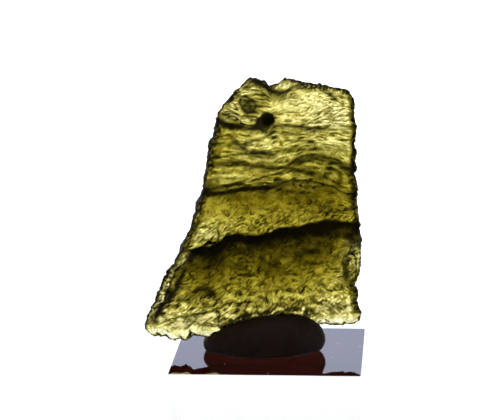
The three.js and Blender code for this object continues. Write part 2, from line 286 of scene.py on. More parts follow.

# %% [markdown]
# ## The stone's outline
# The stone is a plate, so it is drawn flat first, like a leaf on squared paper. U runs to the right
# from the cube's centre and W runs up from the cube's top. A free curve could hold the whole
# outline, but four sides are easier to shape: each is a short list of points, and each gives one
# coordinate from the other.

# %% Draw the four sides
LEFT_SIDE = [  # (W, U), from the long lower corner up to the peak
    (2.6, -16), (3.05, -16.45), (3.65, -16.7), (4.6, -16.55), (5.3, -16.4), (5.85, -15.95),
    (6.5, -15.85), (7.15, -15.35), (8.35, -14.95), (9.1, -14.55), (10.2, -14.2), (10.85, -13.8),
    (11.4, -13.6), (12, -13), (13, -12.4), (14.05, -12), (15.25, -11.4), (15.8, -11.05),
    (16.3, -10.95), (16.85, -10.55), (18, -10.25), (19.3, -9.85), (20.3, -9.75), (21.35, -9.1),
    (22.8, -8.75), (24.3, -8.5), (26.1, -8.2), (28.1, -8), (28.8, -7.8), (29.3, -7.4),
    (31, -7), (32.05, -6.85), (33, -6.3), (33.7, -5.9), (34.4, -4.95), (35.1, -4.65),
    (35.6, -3.95), (36.35, -3.2), (37, -2.4)]
RIGHT_SIDE = [  # (W, U)
    (3.4, 11.7), (3.85, 12.1), (4.5, 12.35), (5.15, 12.25), (5.8, 11.95), (6.9, 11.85),
    (7.6, 11.95), (8.35, 11.75), (9, 11.25), (9.7, 11.75), (10.55, 12.1), (11.9, 12.2),
    (13.85, 12.3), (15.4, 12.25), (16.15, 12), (16.9, 12.1), (18.55, 11.9), (19.5, 11.75),
    (20.3, 11.65), (21.9, 11.75), (23, 11.57), (23.65, 11.4), (24.2, 11.15), (24.45, 11.6),
    (24.85, 11.65), (25.8, 11.45), (26.5, 11.6), (27.1, 11.55), (28.2, 11.4), (29.25, 11.6),
    (30.2, 11.7), (31.2, 11.45), (32.45, 11.45), (33.5, 11.3), (34.25, 11.1)]
TOP_SIDE = [  # (U, W), two peaks with a notch between them
    (-2.4, 37), (-1.6, 36.9), (-0.4, 36.45), (0, 36), (0.15, 35.8), (0.65, 36.1),
    (1.2, 36.25), (1.8, 36.7), (2.35, 36.9), (3.05, 36.7), (4.1, 36.45), (5.2, 36.2),
    (6.8, 36), (8.35, 35.6), (10.05, 35.25), (10.65, 34.9), (11.1, 34.25)]
BOTTOM_SIDE = [  # (U, W), with its middle sunk in the putty
    (-16, 2.6), (-15.25, 2.4), (-13.9, 2.25), (-13.5, 1.95), (-12.8, 1.7), (-12.05, 1.85),
    (-11, 1.75), (-10.45, 2.25), (-9.9, 2.3), (-8.5, 2.05), (-6, 1.8), (0, 1.5), (5, 2.6),
    (6.95, 3.45), (7.9, 3.4), (9.2, 3.25), (10.95, 3.3), (11.7, 3.4)]
print("outline points:", sum(map(len, (LEFT_SIDE, RIGHT_SIDE, TOP_SIDE, BOTTOM_SIDE))))

# %% [markdown]
# ## The ledges
# The glass flowed before it set, and acid soil etched the flow lines into ledges. The big ledge
# crosses the lower half. Two softer folds lie above it, and one more line runs through the pit
# near the top. Each is a listed line too, and the mesh will follow all four.

# %% Draw the lines that cross the plate
BIG_LEDGE = [  # (U, W)
    (-12.4, 14), (-11, 14.25), (-10, 14.5), (-9, 14.75), (-8, 14.65), (-7.2, 15), (-6.5, 15.5),
    (-5.8, 16.15), (-5, 16.3), (-4, 16.35), (-3, 16.2), (-2, 16.15), (-1, 16.3), (0, 16.55),
    (1, 17), (2, 17.2), (3, 17.15), (4, 17.25), (5, 17.6), (6, 17.7), (7, 18), (8, 18.12),
    (9, 18), (11, 17.74), (12.4, 17.04)]
LOWER_FOLD = [
    (-9.3, 22.5), (-8.3, 22.3), (-7, 22), (-5.5, 22), (-4.5, 22.3), (-3, 22.6), (0.3, 22.6),
    (1.3, 22.9), (2.2, 23.2), (3.5, 23.4), (5, 23.35), (6.5, 23.1), (7.5, 22.8), (8.5, 22.5),
    (9.3, 21.9), (10.3, 21.6), (11.9, 21.7)]
UPPER_FOLD = [
    (-8.4, 26.42), (-5.2, 26.12), (-3, 25.82), (-2, 25.52), (0, 25.12), (1, 25.07), (2, 25.32),
    (4, 26.52), (5.5, 26.92), (7, 26.62), (8.5, 26.22), (9.5, 25.72), (10.5, 25.22), (11.7, 24.62)]
PIT_LINE = [
    (-7.2, 31.55), (-5, 31.45), (-4.3, 31.15), (-2.5, 30.55), (-0.5, 30.35), (0.9, 31.05),
    (2, 30.75), (4.5, 30.45), (8, 30.45), (11.7, 30.25)]
LEDGE_BAND = [(-12, 0.8), (0, 0.9), (5, 1.3), (9, 2.1), (12, 2.2)]  # (U, mm) from crest to foot
print("the big ledge climbs", round(BIG_LEDGE[-3][1] - BIG_LEDGE[0][1], 1), "mm from left to right")

# %% [markdown]
# ## Smooth lines and noise
# A few small tools do most of the work. on_line turns a given list into a smooth function.
# step_up and step_down blend between 0 and 1, and bell is a soft hump. noise gives random lumps
# that are the same in every run, because each lattice corner's direction comes from a formula and
# not from a random draw.

# %% Tools for lines and noise
def on_line(points, x):
    """The value of a listed line at x: smooth between its points and level beyond its ends."""
    xs, ys = np.array(points, float).T
    x = np.clip(x, xs[0], xs[-1])
    i = np.clip(np.searchsorted(xs, x, side="right") - 1, 0, len(xs) - 2)
    before, after = np.maximum(i - 1, 0), np.minimum(i + 2, len(xs) - 1)
    step, rise = xs[i + 1] - xs[i], ys[i + 1] - ys[i]
    start = (ys[i + 1] - ys[before]) / (xs[i + 1] - xs[before]) * step
    end = (ys[after] - ys[i]) / (xs[after] - xs[i]) * step
    t = (x - xs[i]) / step
    return ys[i] + t * start + t**2 * (3 * rise - 2 * start - end) + t**3 * (start + end - 2 * rise)


def step_up(low, high, x):
    """0 below low and 1 above high, with a smooth rise between them."""
    t = np.clip((x - low) / (high - low), 0, 1)
    return t * t * (3 - 2 * t)


def step_down(low, high, x):
    return 1 - step_up(low, high, x)


def bell(x, width):
    """1 where x is 0, and falling to nearly nothing at twice the width."""
    return np.exp(-((x / width) ** 2))


def lattice(i, j, seed):
    """A fixed value between 0 and 1 for each lattice corner."""
    wave = np.sin(i * 127.1 + j * 311.7 + seed * 74.7) * 43758.5453
    return wave - np.floor(wave)


def noise(x, y, seed=0):
    """Gradient noise, mostly between -1 and 1, with lumps about one unit across."""
    i, j = np.floor(x), np.floor(y)
    total = 0
    for di, dj in ((0, 0), (0, 1), (1, 0), (1, 1)):
        angle = 2 * math.pi * lattice(i + di, j + dj, seed)
        right, up = x - i - di, y - j - dj
        pull = np.cos(angle) * right + np.sin(angle) * up
        for near in (1 - np.abs(right), 1 - np.abs(up)):
            pull = pull * near**3 * (near * (6 * near - 15) + 10)
        total = total + pull
    return 1.5 * total


print(f"the left side at mid height: {on_line(LEFT_SIDE, 20.0):.2f}")

# %% [markdown]
# ## A grid that follows the stone
# A plain square grid would cut the ledges into stairs. So each row of the grid follows the outline
# or a crossing line, and the rows between two lines blend from one to the other. Rows and columns
# crowd together at the rim, where the surface turns over. Little teeth roughen the outline.

# %% Set the rows
RIM_STEPS = np.array([0.0, 0.03, 0.08, 0.15, 0.24, 0.35, 0.48, 0.62])  # in from the outline
RIM_WIDTH = RIM_STEPS[-1]
ROWS_BETWEEN = (78, 8, 42, 24, 32, 42)  # between one crossing line and the next


def teeth(along, seed):
    """Small notches and points along the outline."""
    flat = 0.5 + 0 * along
    return 0.09 * noise(along * 1.3, flat, seed) + 0.06 * noise(along * 3.1, flat, seed + 9)


def crossing_lines(u):
    """The heights at u of the lines that the rows follow, from the bottom to the top."""
    ledge = on_line(BIG_LEDGE, u)
    return np.stack([
        on_line(BOTTOM_SIDE, u) + RIM_WIDTH + teeth(u, 301),
        ledge - on_line(LEDGE_BAND, u), ledge,
        on_line(LOWER_FOLD, u), on_line(UPPER_FOLD, u), on_line(PIT_LINE, u),
        on_line(TOP_SIDE, u) - RIM_WIDTH + teeth(u, 302)])


def between_lines(stack, level):
    """Reads a stack of lines at a level: 2.5 is half way between its lines 2 and 3."""
    low = np.clip(np.floor(level).astype(int), 0, len(stack) - 2)
    share = np.clip(level - low, 0, 1)
    below = np.take_along_axis(stack, low[None], 0)[0]
    above = np.take_along_axis(stack, low[None] + 1, 0)[0]
    return below * (1 - share) + above * share


inner_levels = [k + i / count for k, count in enumerate(ROWS_BETWEEN) for i in range(count)]
bottom_rows, top_rows = RIM_STEPS[:-1] - RIM_WIDTH, (RIM_WIDTH - RIM_STEPS)[::-1]
row_levels = np.concatenate([0 * bottom_rows, inner_levels, 0 * top_rows + len(ROWS_BETWEEN)])
row_shifts = np.concatenate([bottom_rows, np.zeros(len(inner_levels)), top_rows])
print("rows:", len(row_levels))

# %% Fill the rows with columns
COLUMNS, GUESSES = 205, 14


def row_ends(side, start, seed):
    """Where each row meets a side: the guess is put back into the side's line until it settles."""
    u = np.full(row_levels.shape, float(start))
    for _ in range(GUESSES):
        u = on_line(side, between_lines(crossing_lines(u), row_levels) + row_shifts)
    return u + teeth(between_lines(crossing_lines(u), row_levels), seed)


left, right = row_ends(LEFT_SIDE, -9, 303)[:, None], row_ends(RIGHT_SIDE, 11, 304)[:, None]
across = np.linspace(0, 1, COLUMNS - 2 * len(RIM_STEPS) + 2)[None]
U = np.hstack([left + RIM_STEPS[:-1],
               left + RIM_WIDTH + (right - left - 2 * RIM_WIDTH) * across,
               right - RIM_STEPS[-2::-1]])
LEVEL = np.repeat(row_levels[:, None], U.shape[1], axis=1)
W = between_lines(crossing_lines(U), LEVEL) + row_shifts[:, None]
print(f"grid: {U.shape} points, about {np.diff(U, axis=1).mean():.2f} mm apart")

# %% [markdown]
# ## Measures all over the plate
# From here on, every quantity is an array with one number for each grid point. Distances to the
# edges and to the ledge come first. patch marks an oval, shelf and hollow make simple forms, and
# mottle lays coarse and fine noise over each other.

# %% Measure distances
SLANT_SHARE = 0.93  # the sides slant a little, so they are nearer than they seem along a row
from_left, from_right = U - on_line(LEFT_SIDE, W), on_line(RIGHT_SIDE, W) - U
above_foot = W - on_line(BOTTOM_SIDE, U)
from_edge = SLANT_SHARE * np.minimum.reduce([
    from_left, from_right, on_line(TOP_SIDE, U) - W, above_foot])
below_ledge = on_line(BIG_LEDGE, U) - W
lower_half = step_up(-0.3, 0.3, below_ledge)


def patch(middle, radii, soft=0.5, height=None):
    """1 inside an oval and 0 outside it, with a soft edge. height may replace W."""
    up = W if height is None else height
    far = np.hypot((U - middle[0]) / radii[0], (up - middle[1]) / radii[1])
    return step_down(1 - soft, 1 + soft, far)


def shelf(line, rise, band, fade):
    """A shelf that stands out below a line and fades out further down."""
    below = on_line(line, U) - W
    return rise * step_up(0, band, below) * np.exp(-np.maximum(below - band, 0) / fade)


def hollow(middle, radii, depth):
    """A shallow bowl with a flat bottom."""
    far = np.hypot((U - middle[0]) / radii[0], (W - middle[1]) / radii[1])
    return -depth * step_down(0.35, 1.15, far)


def mottle(*layers):
    """Noise on the plate, the sum of layers: (share, lumps per mm across, and upward, seed)."""
    return sum(share * noise(U * across, W * upward, seed)
               for share, across, upward, seed in layers)


def cover(*layers):
    """Lays dark layers over each other, as with washes of ink: 1 is opaque."""
    clear = 1
    for layer in layers:
        clear = clear * (1 - layer)
    return 1 - clear


def ovals(places, height=None):
    """Lays a list of soft ovals over each other: strength, middle, radii and softness of each."""
    return cover(*[strength * patch(middle, radii, soft, height)
                   for strength, middle, radii, soft in places])


print(f"share of the plate below the big ledge: {lower_half.mean():.2f}")

# %% [markdown]
# ## How thick the glass is
# The colour comes from thickness: thin glass is pale and thick glass is deep olive. So thickness is
# the paint of this lesson. A list gives it by height, ovals add or take away a little, and two
# zones are thinned: the flange on the left under the ledge, and a chipped place on the right edge.

# %% Set the thickness
THICKNESS = [  # (W, mm)
    (1.5, 0.8), (3.4, 0.9), (4.6, 1.2), (6, 1.6), (8, 2.2), (10, 2.8), (12, 3.1), (15, 3), (18, 3),
    (20.5, 3.5), (22.5, 3), (24.5, 2.3), (26, 2.2), (28.5, 1.9), (31, 1.6), (33, 1.35), (37, 1.1)]
LUMPS = [  # mm, middle, radii
    (0.9, (-6.3, 29.5), (2.6, 3)), (-0.5, (-2.2, 27.8), (3, 1.2)),
    (-0.45, (8.2, 29.6), (3.2, 2.4)), (-0.5, (-4.4, 23.3), (4.5, 1.1)),
    (-0.6, (-7, 17.5), (3.2, 2.2)), (0.5, (6, 19.6), (4.5, 1.6)),
    (0.3, (-2, 19), (5, 1.6)), (0.5, (-1.5, 33.6), (2.4, 1.9)),
    (0.4, (0, 21), (5, 1.2)), (0.5, (8, 22.5), (2.4, 1.8)),
    (-0.6, (-5.3, 31.8), (1.5, 1.4)), (-0.7, (9.5, 8), (3, 3)),
    (0.4, (-9, 7.8), (2.2, 1.6)), (-0.4, (8, 10.5), (2, 2)),
    (-0.25, (7.8, 31.8), (3.2, 2.2)), (-0.45, (9.6, 3.6), (2.6, 0.7))]
FLANGE_THINNED, CHIP_THINNED = 0.72, 0.7  # shares of the thickness that are taken away
LEAST_THICKNESS = 0.5  # mm, before the thinning
CHIP_MIDDLE, CHIP_REACH = 12.4, 2.5  # W and mm
flange_shoulder = 1 + 1.6 * step_up(10.8, 12.8, W)
flange = FLANGE_THINNED * lower_half * step_down(1, 1 + flange_shoulder, from_left)
chip = (CHIP_THINNED * np.exp(-(((W - CHIP_MIDDLE) / CHIP_REACH) ** 4))
        * step_down(0.4, 4.4, from_right))
thinning = 1 - np.maximum(flange, chip)
thickness = on_line(THICKNESS, W) + mottle((0.3, 0.33, 0.42, 91))
thickness = thickness - 1.1 * patch((-8.8, 15.9), (2.4, 1.5), 0.7)  # the clear corner on the ledge
for extra, middle, radii in LUMPS:
    thickness = thickness + extra * patch(middle, radii)
body = np.maximum(thickness, LEAST_THICKNESS) / 2 * thinning
print(f"glass from {2 * body.min():.2f} to {2 * body.max():.2f} mm thick")

# %% [markdown]
# ## Ledges and holes
# On the front, the glass stands out as a shelf below each line. The back has one softer step a
# little lower down. The big ledge's step dies away toward the foot and toward its left end. A
# round pit near the top and three shallow hollows are sunk into the front.

# %% Add the ledges and the holes
LEDGE_RISE, BACK_LEDGE_RISE, BACK_LEDGE_DROP = 1.1, 0.6, 0.6
ledge_strength = step_up(4, 10, W) * (0.25 + 0.75 * step_up(-11.5, -8.7, U))
front_steps = (shelf(BIG_LEDGE, LEDGE_RISE * ledge_strength, on_line(LEDGE_BAND, U), 8)
               + shelf(LOWER_FOLD, 0.35, 1.2, 1.6) + shelf(UPPER_FOLD, 0.4, 1.0, 1.3)
               + shelf(PIT_LINE, 0.3, 0.7, 1.0))
back_line = [(u, w - BACK_LEDGE_DROP) for u, w in BIG_LEDGE]
back_steps = shelf(back_line, BACK_LEDGE_RISE * ledge_strength, 2.2, 8)
holes = (hollow((-0.2, 31.2), (1.15, 1.1), 0.6) + hollow((-8.9, 7.8), (1.9, 1.4), 0.5)
         + hollow((-2.6, 33.2), (0.9, 0.9), 0.2) + hollow((2.2, 35.0), (0.8, 0.5), 0.2))
print(f"the pit is {-holes.min():.2f} mm deep")

# %% [markdown]
# ## Dark lines in clear glass
# Steep little walls bend the light so far aside that none comes through, and they look black.
# Building each one truly steep would need millions of faces. Instead each point of the skin gets a
# darkness from 0 to 1, painted shade that makes the glass let less light through where it is high.
# Lines that are cut into the relief are painted darker at the same place, so form and shade agree.
#
# The viewer looks down a little, so a line on the raised front seems lower than it is. SEEN is
# the height at which each point of the front seems to lie. The strokes and the oval shadows are
# laid out on it.

# %% Prepare to draw on the glass
LOOK_DOWN_SHIFT = 0.205
SEEN = W - LOOK_DOWN_SHIFT * (body + front_steps * thinning)


def stroke(points, half_width):
    """A line drawn through given points: about 1 on it, and fading at its ends and sides."""
    nearest, run = np.full(U.shape, 1e9), np.zeros(U.shape)
    lengths = [math.dist(a, b) for a, b in zip(points, points[1:])]
    start = 0.0
    for (ua, wa), (ub, wb), length in zip(points, points[1:], lengths):
        t = np.clip(((U - ua) * (ub - ua) + (SEEN - wa) * (wb - wa)) / length**2, 0, 1)
        far = np.hypot(U - ua - t * (ub - ua), SEEN - wa - t * (wb - wa))
        run = np.where(far < nearest, (start + t * length) / sum(lengths), run)
        nearest = np.minimum(nearest, far)
        start += length
    taper = np.sqrt(np.clip(6.4 * run * (1 - run), 0, 1))
    return taper * (1 + mottle((0.35, 1.7, 1.7, 5))) * bell(nearest, half_width)


print(f"a line can seem up to {(W - SEEN).max():.2f} mm lower than it is")

# %% List the strokes of the folds and flow lines
FLOW_STROKES = [  # half width, depth, darkness, points
    # along the lower fold
    (0.2, 0.15, 0.48, [(-8.2, 22.8), (-6, 22.65), (-5, 22.8), (-3.5, 23.1)]),
    (0.15, 0.15, 0.34, [(-3, 23), (-1.5, 23.5), (0, 23.9), (1.5, 24.3), (2.3, 24.8)]),
    (0.3, 0.16, 0.75, [(-10, 21.3), (-8.6, 21.5), (-5.8, 21.75), (-4.4, 21.95), (-3.1, 22.15),
                        (-0.5, 22.2), (1, 22.5)]),
    (0.2, 0.1, 0.55, [(-9.6, 22.1), (-8.6, 22.15), (-6.3, 22.4), (-4.2, 23), (-3, 23.2)]),
    (0.26, 0.15, 0.45, [(0.3, 23.4), (1.4, 23.35), (2.5, 23.2)]),
    (0.14, 0.12, 0.4, [(0.5, 21.8), (1.5, 21.9), (3, 21.6), (4.5, 21.6), (6, 21.3)]),
    # along the upper fold and its arch on the right
    (0.22, 0.15, 0.5, [(-5.2, 25.9), (-4, 25.8), (-3, 25.6), (-2, 25.3), (0, 24.9), (1, 24.85),
                        (2, 24.9), (3, 24.7), (4.5, 24.3), (6, 23.8), (7.5, 23.8)]),
    (0.24, 0.12, 0.42, [(2.3, 25.2), (3.2, 25.8), (4, 26.3), (5.5, 26.6), (7, 26.3), (8.5, 25.9),
                        (9.5, 25.4), (10.5, 24.9), (11.5, 24.5)]),
    (0.3, 0.15, 0.45, [(3.5, 25.2), (4.6, 25.8), (6, 26), (7.2, 25.7)]),
    # flow lines above the folds
    (0.34, 0.15, 0.62, [(-4.8, 28.7), (-3.5, 27.6), (-2.5, 27.1), (-1, 26.9), (0.5, 27)]),
    (0.22, 0.12, 0.45, [(-0.5, 27), (1.5, 27.1), (4, 27.3), (7.2, 27.4)]),
    (0.12, 0.1, 0.5, [(2.5, 28.4), (4, 28.5), (6, 28.4)]),
    (0.12, 0.1, 0.45, [(6.1, 28.2), (6, 27.7), (6.15, 27.2)]),
    (0.2, 0.12, 0.5, [(0.9, 31), (2, 30.6), (4.5, 30.3), (5.5, 30.2), (8, 30.3)]),
    (0.1, 0.08, 0.32, [(4.9, 30.5), (5.6, 31), (6.3, 31.4), (7, 31.6)]),
    (0.1, 0.08, 0.28, [(6.2, 31.9), (7.2, 32.5), (8.2, 32.9), (9.3, 33)]),
    (0.12, 0.1, 0.32, [(6, 30.8), (7.5, 31.3), (9.3, 31.5)])]
print("strokes along the flow:", len(FLOW_STROKES))

# %% List the strokes round the pit
PIT_STROKES = [
    # the swirl beside the pit
    (0.2, 0.1, 0.85, [(-3.6, 34.5), (-3.9, 33.7), (-3.5, 32.9), (-2.9, 32.3), (-1.9, 32.4),
                        (-1.2, 32.1)]),
    (0.15, 0.08, 0.75, [(-2.9, 34.2), (-2.2, 33.9), (-1.7, 33.3), (-2, 32.7)]),
    (0.12, 0.06, 0.65, [(-3.3, 33.9), (-2.6, 33.7), (-2.1, 33.9), (-1.4, 33.7)]),
    (0.16, 0.08, 0.8, [(-3.4, 33.1), (-2.9, 33.6), (-2.4, 33.2), (-2.6, 32.7)]),
    (0.14, 0.08, 0.75, [(-3.9, 31.8), (-3.2, 31.9), (-2.4, 31.8), (-1.5, 31.7)]),
    (0.13, 0.08, 0.7, [(-3.9, 31.6), (-3.7, 30.9), (-2.8, 30.6), (-1.8, 30.5)]),
    (0.11, 0.06, 0.45, [(-5.6, 33), (-4.6, 32.4), (-3.7, 31.9)]),
    (0.11, 0.06, 0.45, [(-6.3, 32.4), (-5.4, 31.9), (-4.6, 31.6)]),
    (0.11, 0.06, 0.5, [(-5, 33.9), (-4.4, 33.3), (-4, 32.6)]),
    # the dark line that runs into the pit from the left
    (0.42, 0.15, 0.92, [(-7.3, 31.75), (-6.6, 31.25), (-5.7, 30.75), (-4.5, 30.5), (-3.4, 30.4)]),
    (0.2, 0.1, 0.8, [(-5, 30.8), (-3.8, 30.4), (-2.5, 30.2), (-1.2, 30.2), (0.2, 30.3)]),
    # the notch between the two peaks
    (0.34, 0.12, 0.85, [(-2.3, 36.5), (-0.9, 36.1), (0.1, 35.4), (0.9, 34.9), (1.6, 34.85)]),
    (0.16, 0.1, 0.6, [(1.2, 34.9), (2.2, 35), (2.9, 35.45), (3.3, 35.6)])]
print("strokes round the pit:", len(PIT_STROKES))

# %% List the strokes near the ledge and below it
LOWER_STROKES = [
    # above the big ledge
    (0.16, 0.12, 0.55, [(6.2, 18.7), (6.9, 18.95), (7.5, 18.6), (8, 18.95), (8.5, 18.7),
                        (9, 19), (9.5, 18.75), (10.1, 19.2), (10.8, 19.1)]),
    (0.14, 0.12, 0.6, [(-6.9, 15.2), (-6.8, 16), (-7, 16.9)]),
    (0.13, 0.1, 0.5, [(-10, 17), (-8.6, 17.1), (-7, 16.95)]),
    # the seam of the flange, and the lower half
    (0.3, 0.2, 0.85, [(-11.2, 12), (-11.6, 10.8), (-12.4, 9.4), (-12.8, 8.4), (-13.6, 7.2),
                        (-14.7, 6.3), (-15.2, 5), (-15.8, 4)]),
    (0.4, 0.2, 0.5, [(-10.2, 8.3), (-9.4, 8.8), (-8.3, 8.6), (-7.6, 8), (-7.6, 7.4)]),
    (0.16, 0.12, 0.45, [(-11.5, 5.3), (-9, 5.3), (-7, 6), (-5.5, 6.8)]),
    (0.13, 0.1, 0.4, [(-13, 4.9), (-9.5, 5.1)]),
    (0.16, 0.12, 0.45, [(-5, 11.2), (-4.2, 10.6), (-3, 10.4), (-2, 10.5)]),
    (0.13, 0.1, 0.45, [(-0.3, 12), (0.3, 11.6), (2, 11.3)])]
print("strokes in the lower half:", len(LOWER_STROKES))

# %% Draw all the strokes
DARKEST = 0.97  # of one line or blotch
STROKE_WASHES = 2.2  # a stroke is as dark as this many washes of its own tone
# Each stroke is cut into the relief, and painted shade is laid along it.
cuts, stroke_shade = 0, 0
for half_width, depth, dark, points in FLOW_STROKES + PIT_STROKES + LOWER_STROKES:
    line = stroke(points, half_width)
    cuts = cuts - depth * line
    stroke_shade = cover(stroke_shade, 1 - (1 - np.clip(dark * line, 0, DARKEST)) ** STROKE_WASHES)
print(f"deepest cut: {-cuts.min():.2f} mm, darkest stroke: {stroke_shade.max():.2f}")

# %% [markdown]
# ## Painted shadows in the glass
# Broad shadows are painted where the glass is folded: in the pit and round it, under the folds, and
# above all under the big ledge, where a nearly black band fades slowly into the green below. Ovals
# make the small ones. The long ones follow the crossing lines, with noise to break their edges.

# %% List the oval shadows of the upper half
UPPER_SHADOWS = [  # darkness, middle, radii, softness
    # the pit and its dark mouth
    (0.99, (-0.22, 31.35), (1.05, 1), 0.2), (0.99, (-0.85, 30.95), (1, 0.78), 0.25),
    (0.95, (-1.5, 30.5), (1, 0.38), 0.5), (0.55, (0.1, 30.35), (1, 0.4), 0.5),
    # the swirl and the notch
    (0.55, (-3, 33.5), (0.7, 0.9), 0.6), (0.55, (-2.2, 32.8), (0.8, 0.5), 0.6),
    (0.25, (-2.3, 33.4), (1.6, 1.5), 0.6), (0.5, (0.9, 34.5), (1.8, 0.6), 0.6),
    (0.65, (1.8, 34.9), (0.8, 0.35), 0.4), (0.4, (10.2, 34.4), (0.8, 0.6), 0.6),
    (0.35, (-1, 33.6), (0.8, 0.6), 0.6), (0.4, (-2.9, 32.5), (0.7, 0.5), 0.6),
    (0.35, (4, 35), (1.3, 0.8), 0.6),
    # the flow lines and the folds
    (0.35, (4.5, 29.5), (3.2, 0.7), 0.6), (0.4, (-4.9, 30.4), (0.8, 0.4), 0.6),
    (0.3, (-7, 28.5), (0.8, 2.2), 0.6), (0.4, (5, 24.5), (1.8, 0.6), 0.6),
    (0.4, (-5.6, 25.6), (1.3, 0.5), 0.6), (0.4, (-6.2, 25.45), (2.3, 0.4), 0.6),
    (0.25, (6.5, 24.4), (2.5, 0.5), 0.6), (0.3, (4.4, 23.9), (1.6, 0.7), 0.6),
    (0.1, (-7.2, 24.5), (0.8, 3), 0.6)]
print("oval shadows above:", len(UPPER_SHADOWS))

# %% List the rest and lay them all
LOWER_SHADOWS = [
    # between the lower fold and the big ledge
    (0.2, (-2, 20.5), (3, 0.8), 0.6), (0.35, (3.4, 20.5), (1.6, 0.7), 0.6),
    (0.25, (5, 21), (1.8, 0.6), 0.6), (0.3, (6.5, 19.8), (1.8, 0.8), 0.6),
    (0.3, (-8.8, 18.5), (0.8, 0.7), 0.6), (0.4, (1.6, 17.5), (1.2, 0.4), 0.6),
    (0.35, (7.8, 18.2), (1.4, 0.5), 0.6),
    # below the big ledge
    (0.55, (6.9, 14.4), (1.4, 0.4), 0.6), (0.75, (5.2, 13.4), (1.2, 0.35), 0.6),
    (0.45, (6.8, 13.7), (1.6, 0.5), 0.6), (0.25, (3.2, 13.4), (2.2, 1), 0.6),
    (0.3, (6, 12.8), (1.8, 0.8), 0.6), (0.3, (-7.2, 12), (1.5, 0.8), 0.6),
    (0.35, (0.6, 10.7), (1.6, 0.8), 0.6), (0.2, (0.5, 10.9), (4, 1.5), 0.6),
    (0.5, (10, 15.5), (0.8, 0.45), 0.6), (0.85, (10.1, 10.3), (0.5, 1.2), 0.5),
    (0.8, (9.9, 11.5), (0.5, 0.5), 0.5),
    # the flange's upper end
    (0.6, (-12.3, 13.7), (0.6, 0.9), 0.5), (0.5, (-12.7, 12), (0.6, 0.9), 0.5),
    # near the foot
    (0.45, (-8.1, 8), (0.8, 0.6), 0.6), (0.35, (-9.2, 7.6), (1.6, 1.1), 0.6),
    (0.35, (-7.3, 7.6), (0.8, 0.5), 0.6), (0.35, (-1.5, 6.5), (1, 0.5), 0.6),
    (0.4, (-8.4, 3.5), (0.9, 0.4), 0.6)]
shadow_dark = ovals(UPPER_SHADOWS + LOWER_SHADOWS, SEEN)
print("oval shadows below:", len(LOWER_SHADOWS))

# %% Lay the long shadows
def along_line(line, above, below, dark):
    """A band of painted shade along a line, with its own softness above and below it."""
    rise = W - on_line(line, U)
    reach = np.where(rise > 0, above, below) * (1 + mottle((0.5, 0.8, 0.8, 55)))
    return dark * bell(rise, reach)


# Painted shade along the big ledge, under it, along the folds and in the arch.
ledge_depth = below_ledge / np.minimum(on_line(LEDGE_BAND, U), 1.5)
clear_left_end = patch((-10.7, 13.3), (1.2, 0.5), 0.6)
clear_right_end = patch((10.0, 16.4), (1.5, 0.5), 0.6)
ledge_wall_shade = (0.96 * step_up(-0.12, 0.12, below_ledge + mottle((0.12, 1.6, 1.6, 57)))
              * step_down(0.75, 1.9, ledge_depth + mottle((0.45, 0.7, 1.1, 58)))
              * (1 - 0.8 * clear_left_end) * (1 - 0.35 * clear_right_end))
ledge_fade = 4.2 - 1.2 * step_up(3, 10, U)
under_ledge_shade = ((0.9 - 0.3 * step_up(7, 10, U) - 0.55 * step_down(-12, -8.5, U))
               * (1 - 0.5 * clear_left_end) * (1 - 0.3 * patch((-4.6, 15.4), (1.2, 0.6)))
               * lower_half * np.exp(-((np.maximum(below_ledge, 0) / ledge_fade) ** 1.5)))
fold_line_shade = along_line(LOWER_FOLD, 0.12, 0.18, DARKEST) * (0.9 + mottle((0.35, 0.5, 0.5, 59)))
arch_gaps = mottle((1, 0.9, 1.3, 88), (0.5, 2.0, 2.4, 89))
arch = (along_line([(u, w - 0.35) for u, w in UPPER_FOLD], 0.4, 0.8, 0.5)
        * step_up(1.5, 3.5, U) * (0.35 + 0.65 * step_up(-0.25, 0.25, arch_gaps)))
shadow_dark = cover(shadow_dark, ledge_wall_shade, under_ledge_shade, np.clip(fold_line_shade, 0, 1), arch,
                    along_line(LOWER_FOLD, 0.3, 0.7, 0.26), along_line(UPPER_FOLD, 0.5, 0.7, 0.28))
print(f"share in deep shadow: {(shadow_dark > 0.9).mean():.3f}")

# %% [markdown]
# ## Wrinkles
# Etching left nets of fine furrows: long flow lines in the upper half, short crinkles above the
# ledge, and strokes that fan out over the foot. A furrow is where smooth noise passes through
# zero, which gives a net of lines that never stop dead. Stretching the noise makes the lines
# long, and turning it makes them slant. FLOW is a height that is nearly level along every crossing
# line, so that the long lines bend with the ledges.

# %% Choose where each kind of wrinkle lies
lines = crossing_lines(U)
FLOW = W - 0.8 * between_lines(lines - lines.mean(axis=(1, 2), keepdims=True), LEVEL)


def furrows(angle, along, across, width, seed, height=None):
    """A net of thin lines: 1 on a line, and falling to 0 beside it."""
    up = W if height is None else height
    c, s = math.cos(math.radians(angle)), math.sin(math.radians(angle))
    bend = 0.5 * noise(U * 0.9 / along, up * 0.9 / along, seed + 1) * across
    x, y = U * c + up * s, -U * s + up * c + bend
    return bell(noise(x / along, y / across, seed), width)


